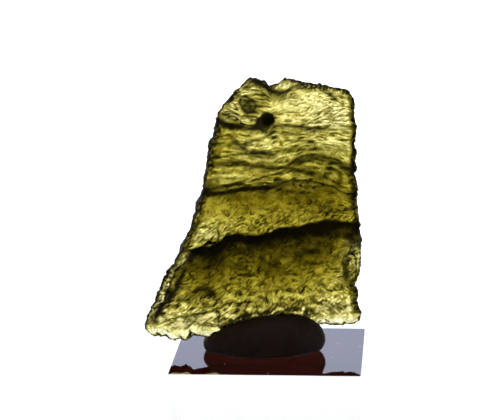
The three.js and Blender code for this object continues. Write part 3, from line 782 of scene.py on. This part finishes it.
chip_zone = patch((11.3, 12.3), (1.2, 2.8), 0.35, SEEN)
CALM_PLACES = [  # share, middle, radii, softness of places with fewer flow lines
    (0.55, (3.5, 33.3), (4, 2.4), 0.4), (0.45, (7.8, 31.6), (3, 1.8), 0.5),
    (0.5, (-3, 23.8), (6, 0.9), 0.6), (0.5, (7, 27), (3.2, 1.1), 0.6)]
flow_zone = step_up(21, 22.5, SEEN) * (1 - ovals(CALM_PLACES, SEEN))
feather_zone = patch((8, 32), (3.6, 1.8), 0.5)
crinkle_zone = (0.6 + 0.2 * lower_half + 0.45 * patch((0, 18.6), (12, 1.6), 0.8, FLOW))
crinkle_zone = crinkle_zone * (1 - flow_zone) + 0.3 * flow_zone
above_ledge = bell(np.clip(-below_ledge, 0, 9), 2.6) * (1 - lower_half)
vein_zone = lower_half * step_up(8, 9.5, SEEN)
fan_zone = step_up(3, 4.5, SEEN) * step_down(8, 10.5, SEEN)
fan_zone = fan_zone * (1 - 0.5 * patch((-11, 4.6), (2.8, 1.2), 0.5))
fan_left, fan_right = step_down(-2.5, 0.5, U), step_up(4, 6.5, U)
fan_middle = np.clip(1 - fan_left - fan_right, 0, 1)
print(f"share of flowing skin: {flow_zone.mean():.2f}")

# %% Etch the wrinkles
NETS = [  # zone, angle, along, across, line width, seed, height, depth, darkness
    (flow_zone, 0, 8, 0.8, 0.11, 11, FLOW, 0.16, 0.92),
    (flow_zone, 2, 4, 0.45, 0.15, 23, FLOW, 0.09, 0.8),
    (flow_zone, -3, 2, 0.34, 0.24, 29, FLOW, 0.06, 0.7),
    (chip_zone, 60, 0.7, 0.45, 0.22, 53, None, 0.12, 0.95),
    (feather_zone, 24, 3, 0.45, 0.12, 33, None, 0.08, 0.5),
    (crinkle_zone, 8, 0.9, 0.6, 0.19, 31, None, 0.11, 0.85),
    (crinkle_zone, 50, 0.5, 0.42, 0.26, 37, None, 0.07, 0.72),
    (above_ledge, 5, 1.3, 0.5, 0.24, 39, FLOW, 0.12, 0.8),
    (vein_zone, -14, 2.2, 0.75, 0.1, 49, None, 0.09, 0.85),
    (fan_zone * fan_left, 42, 1.4, 0.5, 0.26, 41, None, 0.16, 0.96),
    (fan_zone * fan_middle, 80, 1.1, 0.45, 0.26, 43, None, 0.16, 0.97),
    (fan_zone * fan_right, 135, 1, 0.45, 0.26, 47, None, 0.13, 0.88)]
off_the_rim = 0.3 + 0.7 * step_up(0.2, 1.0, from_edge)
# The furrows of each net are painted darker too: painted shade where their walls turn the light
# away.
wrinkles, wrinkle_shade = 0, 0
for zone, angle, along, across, width, seed, height, depth, dark in NETS:
    uneven = np.clip(0.6 + mottle((1.3, 0.8, 1.1, seed + 100)), 0.05, 1.3)
    net = zone * off_the_rim * uneven * furrows(angle, along, across, width, seed, height)
    wrinkles = wrinkles - depth * net
    wrinkle_shade = cover(wrinkle_shade, np.clip((1 + 0.1 * lower_half) * dark * net, 0, DARKEST))
print(f"deepest wrinkle: {-wrinkles.min():.2f} mm")

# %% [markdown]
# ## Blotches
# Soft noise darkens the glass in blotches, mostly in the deep green under the ledge. Along the top
# of the putty, the glass is darkened in small black blotches.

# %% Add blotches, and dark marks along the putty
blotch_noise = mottle((1, 0.75, 0.95, 81), (0.5, 1.7, 2.0, 82), (0.35, 3.3, 3.6, 83))
blotch = step_up(0.0, 0.45, mottle((1, 0.6, 0.85, 86), (0.4, 1.5, 1.9, 87)))
blotch_zone = np.maximum(lower_half * step_up(10, 12, SEEN),
                         0.8 * patch((5, 19.8), (5, 2.2), 0.7, SEEN))
soft_dimming = (0.03 + 0.22 * lower_half * step_up(9, 11.5, SEEN)
        + 0.12 * step_up(19, 20.5, W) * step_down(21, 22.5, W))
blotchy_dark = cover(0.38 * blotch * blotch_zone, soft_dimming * (0.5 + 0.5 * np.clip(blotch_noise, -1, 1)))

PUTTY_EDGE_LINE = [  # (U, W), just above the putty
    (-8, 3.6), (-5, 4.5), (-2.5, 5.1), (0, 5.55), (2, 5.75), (4, 5.5), (6, 5), (8, 4.6)]
putty_edge_zone = (bell(W - on_line(PUTTY_EDGE_LINE, U), 1)
              * step_up(-6.5, -4, U) * step_down(5.5, 7.5, U))
putty_edge_noise = mottle((1, 1.5, 1.1, 93), (0.6, 3.2, 2.4, 94))
putty_edge_blotches = DARKEST * putty_edge_zone * step_up(-0.5, 0, putty_edge_noise)
print(f"share under crumbs: {(putty_edge_blotches > 0.5).mean():.3f}")

# %% [markdown]
# ## The rim
# Round its edge the plate turns over, and most light misses the viewer. So a border of painted
# shade runs all round, with a thin sharp line outside and flecks of light inside. It is weak at the
# chipped place and at the thin foot, and speckled along the flange.

# %% Darken the rim
CLEAR_PLACES = [  # share, middle, radii, softness of places where the rim lets light through
    (0.9, (11.5, 11.5), (0.9, 2), 0.5), (0.5, (2.2, 35.9), (1.6, 0.8), 0.5),
    (0.5, (8.6, 34.6), (1.2, 0.6), 0.5), (0.5, (-6, 32.6), (1, 0.9), 0.5),
    (0.7, (-15.2, 5.5), (0.8, 0.9), 0.5), (0.6, (-8.3, 23.7), (0.9, 0.8), 0.5)]
flecks = mottle((1, 3.1, 3.1, 84), (0.5, 5.7, 4.6, 184))
flange_zone = (lower_half * step_up(2.4, 3.4, W) * step_down(11.8, 12.8, W)
               * step_down(1.1, 1.9, from_left))
flange_noise = mottle((1, 2.9, 2.3, 90), (0.7, 5.2, 4.4, 92))
# Painted shade: speckles along the flange and in the chip, the rim's border and its outline.
flange_shade = 0.95 * flange_zone * step_up(-0.2, 0.06, flange_noise)
thin_rim = lower_half * np.maximum(step_down(1.4, 2.2, from_left), step_down(4.2, 5.2, W))
upper_right = step_down(1, 2.5, from_right) * step_up(25, 28, W)
rim_reach = 1.05 - 0.4 * thin_rim - 0.3 * upper_right + mottle((0.25, 1.3, 1.3, 85))
clear_rim = cover(0.92 * chip_zone, ovals(CLEAR_PLACES))
rim_shade = ((1 - clear_rim) * (0.96 - 0.38 * thin_rim) * (1 - 0.8 * step_up(0.15, 0.5, flecks))
            * step_down(0.5, 1.2, from_edge / rim_reach))
chip_shade = 0.95 * chip_zone * step_up(0.05, 0.25, flange_noise)
outline_shade = (0.95 - 0.4 * chip_zone) * step_down(0.08, 0.32, from_edge)
print(f"share of dark rim: {(rim_shade > 0.5).mean():.3f}")

# %% [markdown]
# ## The two faces
# Each face is a height over the plate's middle plane. The front has the ledges, holes, strokes and
# wrinkles. The back has shallow scallops and a fainter net, and its foot is bevelled. From above,
# the bevel lets light from the soft boxes through. From below, as in the cube's polished top, it
# turns the light away, so the foot's mirror image stays dark.
#
# A last touch of painted shade comes from the front's own slopes. A wall that faces up bends the
# view down, away from the soft boxes, so it is painted darker than a wall that faces down. That is
# what makes wrinkles read as relief.

# %% Shape the front and the back
LEAST_HEIGHT = 0.2  # of either face, so that no hole breaks through
BEVEL_SLOPE, BEVEL_TALL, ABOVE_BEVEL_SLOPE = 0.87, 1.2, -0.12
foot_zone = step_down(2, 4.5, above_foot)


def slopes(height):
    """The rise of a face for each millimetre: to the right, then upward."""
    (h_i, h_j), (u_i, u_j), (w_i, w_j) = np.gradient(height), np.gradient(U), np.gradient(W)
    area = u_j * w_i - u_i * w_j
    return (h_j * w_i - h_i * w_j) / area, (u_j * h_i - u_i * h_j) / area


depth_share = np.clip(body / 0.8, 0.25, 1)  # thin glass takes shallower wrinkles
carved = (cuts + wrinkles) * depth_share * (1 - 0.6 * foot_zone)
front = np.maximum(body + front_steps * thinning + holes + carved, LEAST_HEIGHT)
scallops = np.abs(mottle((0.22, 0.28, 0.36, 61))) + np.abs(mottle((0.12, 0.6, 0.8, 62)))
back_net = furrows(4, 3, 0.9, 0.2, 71, FLOW) + 0.6 * furrows(-8, 1.3, 0.6, 0.2, 73)
back = np.maximum(body + back_steps * thinning - (scallops + 0.04 * back_net) * depth_share,
                  LEAST_HEIGHT)
bevel = (BEVEL_SLOPE * np.minimum(above_foot, BEVEL_TALL)
         + ABOVE_BEVEL_SLOPE * np.maximum(above_foot - BEVEL_TALL, 0))
back = back * (1 - foot_zone) + bevel * foot_zone
front = front * (1 - 0.5 * foot_zone)
to_right, upward = slopes(wrinkles + cuts + 0.03 * flecks)
# Painted shade by slope: walls that face up are darker.
slope_shade = 0.8 * step_up(-0.02, 0.5, 0.15 * to_right - upward)
print(f"thickest: {(front + back).max():.2f} mm")

# %% Gather the darkness of each face
# All the front's painted shade, with the noise blotches and the dark marks along the putty.
front_dark = cover(stroke_shade, shadow_dark, wrinkle_shade, blotchy_dark, rim_shade, outline_shade,
                   slope_shade, flange_shade, chip_shade)
front_dark = cover(front_dark * (1 - 0.45 * step_down(0.9, 2.2, above_foot)), putty_edge_blotches)
# The back's painted shade: the pit, the furrows of its net, its rim and its outline.
pit_shade = 0.95 * patch((0, 31.3), (1.1, 1.0), 0.3)
back_rim_shade = 0.85 * (1 - thin_rim) * (1 - clear_rim) * step_down(0.25, 0.9, from_edge)
back_dark = np.maximum.reduce([0.3 * np.clip(back_net, 0, 1), outline_shade, back_rim_shade, pit_shade])
print(f"mean darkness: {front_dark.mean():.2f} in front, {back_dark.mean():.2f} behind")

# %% [markdown]
# ## Too steep for light
# Where the slopes of the two faces add up to more than about one to one, the light inside is
# mirrored away and a black spot appears. That suits the big ledge, but elsewhere it would be an
# accident of the noise. Those few places are smoothed, and the rest is left crisp.

# %% Smooth the accidental black spots
def soften(height, passes):
    """Draws each point towards the mean of its neighbours, again and again."""
    for _ in range(passes):
        wide = np.pad(height, 1, mode="edge")
        around = wide[:-2, 1:-1] + wide[2:, 1:-1] + wide[1:-1, :-2] + wide[1:-1, 2:]
        height = (2 * height + around) / 6
    return height


TOO_STEEP, FULLY_SMOOTHED = 0.85, 1.25  # the two faces' rise together, for each mm upward
SPOT_PASSES, FACE_PASSES = 6, 60
steep = np.abs(slopes(front)[1] + slopes(back)[1])
spots = np.clip((steep - TOO_STEEP) / (FULLY_SMOOTHED - TOO_STEEP), 0, 1)
spots = np.clip(2 * soften(spots, SPOT_PASSES), 0, 1)
spots = spots * step_up(0.8, 1.6, from_edge) * (1 - bell(below_ledge, 1.6))
front = front * (1 - spots) + soften(front, FACE_PASSES) * spots
print(f"smoothed share: {(spots > 0.5).mean():.3f}")

# %% [markdown]
# ## From drawing to solid
# The two faces share their outermost ring of points, so the skin is closed. Near the ring both
# heights fall to zero along a rounded curve. The rim also gets small bumps in the plate's own
# plane, because a perfectly upright wall would show as a smooth band. Last, the flat drawing is
# turned a little about the upright axis and raised above the cube's top.

# %% Place points of the plate in space
PLATE_TURN, PLATE_BACK = math.radians(8.3), 0.2
RIM_ROUNDING, RIM_ROUNDNESS, RIM_BUMP = 0.55, 2.5, 0.19
at_rim = step_down(0.05, 0.6, from_edge)


def in_space(u, w, out):
    """Points of the plate's plane, raised out of it to the front, as rows of x, y, z in metres."""
    x = u * math.cos(PLATE_TURN) + out * math.sin(PLATE_TURN)
    y = PLATE_BACK + u * math.sin(PLATE_TURN) - out * math.cos(PLATE_TURN)
    return np.stack([x, y, w + CUBE_TOP], axis=-1).reshape(-1, 3) * MM


def rim_bumped(out):
    """The points of a face at these heights, pushed about near the rim."""
    push_u = noise(W * 1.9, out * 1.6, 95) + 0.6 * noise(W * 4.2, out * 3.4, 97)
    push_w = noise(U * 1.9, out * 1.6, 96) + 0.6 * noise(U * 4.2, out * 3.4, 98)
    return in_space(U + RIM_BUMP * at_rim * push_u, W + RIM_BUMP * at_rim * push_w, out)


inward = np.clip((from_edge + 0.03) / RIM_ROUNDING, 0, 1)
rounding = (1 - (1 - inward) ** RIM_ROUNDNESS) ** (1 / RIM_ROUNDNESS)
on_ring = np.ones(U.shape, bool)
on_ring[1:-1, 1:-1] = False
rounding[on_ring] = 0
front, back = front * rounding, back * rounding
print("points on the shared ring:", int(on_ring.sum()))

# %% Join the faces into one closed skin
def quads(ids):
    """The four-cornered faces of a grid of point numbers."""
    corners = [ids[:-1, :-1], ids[:-1, 1:], ids[1:, 1:], ids[1:, :-1]]
    return np.stack(corners, axis=-1).reshape(-1, 4)


inner = ~on_ring
front_ids = np.arange(U.size).reshape(U.shape)
back_ids = front_ids.copy()
back_ids[inner] = U.size + np.arange(inner.sum())
points = np.vstack([rim_bumped(front), rim_bumped(-back)[inner.ravel()]])
faces = np.vstack([quads(front_ids), quads(back_ids)[:, ::-1]])
skin_mesh = new_mesh("moldavite_skin", points.tolist(), faces.tolist())
skin_mesh.shade_smooth()
print("skin:", len(points), "points and", 2 * len(faces), "triangles")

# %% Store the darkness and hand the skin over
# The painted shade and the blotches of both faces, stored on the points.
darkness = np.concatenate([front_dark.ravel(), back_dark[inner]])
darkness = 1 - (1 - darkness) ** 2  # as deep as if each face were passed twice
layer = skin_mesh.attributes.new("darkness", "FLOAT", "POINT")
layer.data.foreach_set("value", darkness.astype(np.float32))
skin = new_object("moldavite_skin", skin_mesh)
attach(skin, "root")
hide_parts("moldavite")
print(f"darkness from {darkness.min():.2f} to {darkness.max():.2f}")

# %% [markdown]
# ## Moldavite glass
# Real glass is clear at its surface and coloured in its depth. So the Principled shader passes all
# light, and a Volume Absorption node takes blue first, then green, then red, by the length of the
# path: thin places stay pale and thick ones turn olive.
#
# The stored darkness is painted shade, and it acts at the surface. A colour ramp turns it into the
# light let through: in the half-dark, blue is held back more than red, as in a longer path through
# the glass. Very dark walls are etched, so they are rough too. A fine grain gives the skin its
# satin look.

# %% Make the glass
OLIVE, GLASS_DENSITY = (0.674, 0.634, 0.06, 1), 1240
glass, tree, shader = new_material("moldavite_glass")
set_sockets(shader, IOR=1.49, Transmission_Weight=1, Specular_Tint=(0.15, 0.14, 0.04, 1))
depth_colour = add_node(tree, "ShaderNodeVolumeAbsorption", Color=OLIVE, Density=GLASS_DENSITY)
join(tree, depth_colour, "Volume", tree.nodes["Material Output"], "Volume")
light_left = [math.exp(-GLASS_DENSITY * MM * (1 - share)) for share in OLIVE[:3]]
print("light left by 1 mm of glass:", [round(share, 2) for share in light_left])

# %% Let the darkness work at the surface
DEEPENING = [  # (darkness, colour let through): the ramp's two ends, then the stops between them
    (0, (1, 1, 1)), (1, (0.0003, 0.0002, 0.0001)), (0.15, (0.92, 0.915, 0.91)),
    (0.3, (0.79, 0.78, 0.73)), (0.5, (0.56, 0.54, 0.41)), (0.7, (0.31, 0.29, 0.13)),
    (0.85, (0.14, 0.124, 0.024))]
drawn = add_node(tree, "ShaderNodeAttribute", {"attribute_name": "darkness"})
deepening = add_node(tree, "ShaderNodeValToRGB")
ramp_stops = deepening.color_ramp.elements
for number, (place, colour) in enumerate(DEEPENING):
    stop = ramp_stops[number] if number < 2 else ramp_stops.new(place)
    stop.position, stop.color = place, (*colour, 1)
join(tree, drawn, "Fac", deepening, "Fac")
join(tree, deepening, "Color", shader, "Base Color")
vary_gloss(tree, shader, drawn, "Fac", 0.03, 0.7, start=0.8)
pores = place_group(tree, grain, Scale=2600, Contrast=1.6)
raise_surface(tree, shader, pores, "Grain", strength=0.35, metres=0.00005)
skin_mesh.materials.append(glass)
print("glass nodes:", len(tree.nodes))

# %% [markdown]
# ## The putty
# The stand is an oval lump of soft putty, pressed down on the cube and squeezed up against the
# stone. A lathe would give a perfect oval, and sculpting can't be repeated. So rings of points
# follow a given profile, and formulas then thumb the sides, dent the surface and raise small
# ribs where the stone pressed in.

# %% Shape the lump
PUTTY_HALF_WIDTH, PUTTY_HALF_DEPTH, PUTTY_MIDDLE = 8.2, 5.0, -0.95
PUTTY_PROFILE = [  # (share of the radius, share of the height), from the foot to the crown
    (0, 0), (0.86, 0), (0.935, 0.05), (0.975, 0.14), (1, 0.3), (1, 0.45), (0.985, 0.56),
    (0.955, 0.67), (0.905, 0.78), (0.83, 0.88), (0.7, 0.95), (0.5, 0.99), (0.25, 1), (0, 1)]
PUTTY_CROWN = [  # (x, mm), the lump's top line along the stone
    (-9.2, 2.8), (-7.5, 3.1), (-5, 3.95), (-2.5, 4.6), (0, 5.1), (2, 5.2), (4, 5.05), (5.5, 4.9),
    (7.3, 4.5)]
RINGS, AROUND = 78, 168
HEIGHT_SHARE = 0.6  # the lump is lower than it is wide, so its height counts less
profile_out, profile_up = np.array(PUTTY_PROFILE).T
walk = np.cumsum(np.hypot(np.diff(profile_out), HEIGHT_SHARE * np.diff(profile_up)))
walk = np.concatenate([[0], walk]) / walk[-1]
stops = np.linspace(0, 1, RINGS)[1:-1, None]
out, up = np.interp(stops, walk, profile_out), np.interp(stops, walk, profile_up)
angle = np.linspace(0, 2 * math.pi, AROUND, endpoint=False)[None]
thumbed = 1 + 0.025 * np.sin(3 * angle + 0.6) + 0.015 * np.sin(7 * angle + 2)
x = PUTTY_MIDDLE + PUTTY_HALF_WIDTH * out * np.cos(angle) * thumbed
y = PLATE_BACK + PUTTY_HALF_DEPTH * out * np.sin(angle) * thumbed
z = up * on_line(PUTTY_CROWN, x)
print(f"the lump is {np.ptp(x):.1f} by {np.ptp(y):.1f} mm")

# %% Dent it and squeeze it up along the stone
off_plate = np.abs((y - PLATE_BACK) * math.cos(PLATE_TURN) - x * math.sin(PLATE_TURN))
squeezed = bell(off_plate, 1.9) * step_up(0.6, 0.95, up)
dents = 0.10 * noise(x * 0.35, y * 0.5 + z * 0.3, 201) + 0.05 * noise(x * 0.9, y + z * 0.8, 202)
ribs = 0.22 * noise(x * 1.5, y * 0.5, 203) + 0.12 * noise(x * 3.1, y * 0.9, 204)
z = z + (dents * 0.8 - 0.06) * step_up(0, 0.2, up) + squeezed * (ribs - 0.05)
swell = 1 + 0.012 * noise(x * 0.5, y * 0.5 + z * 0.8, 205)
x, y = PUTTY_MIDDLE + (x - PUTTY_MIDDLE) * swell, PLATE_BACK + (y - PLATE_BACK) * swell
crown = np.array([x[-1].mean(), y[-1].mean(), z[-1].mean()])
print(f"the crown is {crown[2]:.2f} mm above the cube")

# %% Build the lump's mesh
lump_points = np.vstack([(PUTTY_MIDDLE, PLATE_BACK, 0),
                         np.stack([x, y, z], axis=-1).reshape(-1, 3), crown])
ring_ids = 1 + np.arange(x.size).reshape(x.shape)
wrapped = np.hstack([ring_ids, ring_ids[:, :1]])
lump_faces = quads(wrapped).tolist()
for here, there in zip(wrapped[0].tolist(), wrapped[0, 1:].tolist()):
    lump_faces.append([0, there, here])
for here, there in zip(wrapped[-1].tolist(), wrapped[-1, 1:].tolist()):
    lump_faces.append([here, there, len(lump_points) - 1])
lump_mesh = new_mesh("putty_lump", ((lump_points + (0, 0, CUBE_TOP)) * MM).tolist(), lump_faces)
putty = new_object("pressed_putty", lump_mesh)
print("lump:", len(lump_faces), "faces")

# %% [markdown]
# ## The groove
# The stone must not cut through the putty. A slightly grown copy of its lower part is cut out of
# the lump with a Boolean modifier, which is then applied so that only the finished mesh is left.
# The copy needs far fewer points than the stone, because the putty hides the groove.

# %% Make a cutter from the stone's foot
GROOVE_GAP, FOOT_HEIGHT = 0.07, 9.0
last_row = int(np.nonzero(W.min(axis=1) < FOOT_HEIGHT)[0].max())
rows = np.unique([*range(0, last_row, 2), last_row])
columns = np.unique([*range(0, U.shape[1], 3), U.shape[1] - 1])
foot = np.ix_(rows, columns)
foot_u, foot_w = U[foot].copy(), W[foot].copy()
foot_w[0] -= GROOVE_GAP
foot_u[:, 0] -= GROOVE_GAP
foot_u[:, -1] += GROOVE_GAP
near = np.arange(foot_u.size).reshape(foot_u.shape)
far = near + foot_u.size
border = np.concatenate([near[0, :], near[1:, -1], near[-1, -2::-1], near[-2:0:-1, 0]])
after = np.roll(border, -1)
sides = np.stack([after, border, border + foot_u.size, after + foot_u.size], axis=-1)
cutter_points = np.vstack([in_space(foot_u, foot_w, front[foot] + GROOVE_GAP),
                           in_space(foot_u, foot_w, -back[foot] - GROOVE_GAP)])
cutter_faces = np.vstack([quads(near), quads(far)[:, ::-1], sides])
cutter = new_object("groove_cutter", new_mesh("groove_cutter", cutter_points.tolist(),
                                              cutter_faces.tolist()))
print("cutter:", len(cutter_faces), "faces")

# %% Cut the groove and hand the putty over
groove = putty.modifiers.new("groove", "BOOLEAN")
groove.operation, groove.solver, groove.object = "DIFFERENCE", "EXACT", cutter
depsgraph = bpy.context.evaluated_depsgraph_get()
grooved = bpy.data.meshes.new_from_object(putty.evaluated_get(depsgraph))
putty.modifiers.clear()
putty.data = grooved
bpy.data.objects.remove(cutter)
grooved.shade_smooth()
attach(putty, "root")
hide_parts("putty_pad")
print("putty:", len(grooved.polygons), "faces")

# %% [markdown]
# ## Putty finish
# The putty is nearly black with a warm brown cast. It doesn't shine, but it isn't velvet either.
# Broad grain varies its gloss, as smears from fingers do. Fine grain is the sandy surface: it
# varies the tone and raises the bumps.

# %% Make the putty's material
putty_finish, tree, shader = new_material("dark_putty")
set_sockets(shader, Specular_Tint=(0.5, 0.5, 0.5, 1))
smears = place_group(tree, grain, Scale=260, Contrast=1.2)
sand = place_group(tree, grain, Scale=2200, Contrast=1.0)
grainy_finish(tree, shader, smears, sand, [(0.013, 0.0060, 0.0038), (0.048, 0.023, 0.0135)],
              (0.6, 0.85), strength=0.6, metres=0.0001)
grooved.materials.clear()
grooved.materials.append(putty_finish)
print("putty nodes:", len(tree.nodes))

# %% [markdown]
# ## The cube
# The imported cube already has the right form, so its own mesh is kept and only gets its finish.
# Polished acrylic is as clear as glass, and nearly mirror-smooth apart from a few specks of dust.

# %% Make the acrylic
acrylic, tree, shader = new_material("clear_acrylic")
set_sockets(shader, IOR=1.49, Transmission_Weight=1)
specks = place_group(tree, dust, Scale=420, Speck_Size=0.09)
vary_gloss(tree, shader, specks, "Specks", 0.012, 0.4)
raise_surface(tree, shader, specks, "Specks", strength=0.3, metres=0.00002)
print("acrylic nodes:", len(tree.nodes))

# %% [markdown]
# ## The film under the foot
# A dark red film of painted shade is stuck under the cube. Seen through the polished top at a low
# angle, it gives the red depth wherever the putty's mirror image hides the lilac light. A second
# body could be modelled for it, but it is too thin to see from the side. The faces that point
# down simply get a material of their own.

# %% Stick the film under the cube
# A film of painted shade under the cube's foot.
film, tree, shader = new_material("dark_red_shade_film")
set_sockets(shader, Specular_IOR_Level=0)
weave = place_group(tree, grain, Scale=120, Contrast=1.6)
grainy_finish(tree, shader, weave, weave, [(0.058, 0.010, 0.006), (0.095, 0.016, 0.010)],
              (0.7, 0.9), strength=0.2, metres=0.00005)
FACES_DOWN = -0.9  # the upward part of the normal of a face that points down
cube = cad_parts["acrylic_block"]
cube.data.materials.clear()
for material in (acrylic, film):
    cube.data.materials.append(material)
for face in cube.data.polygons:
    face.material_index = 1 if face.normal.z < FACES_DOWN else 0
print("faces with film:", sum(face.material_index for face in cube.data.polygons))
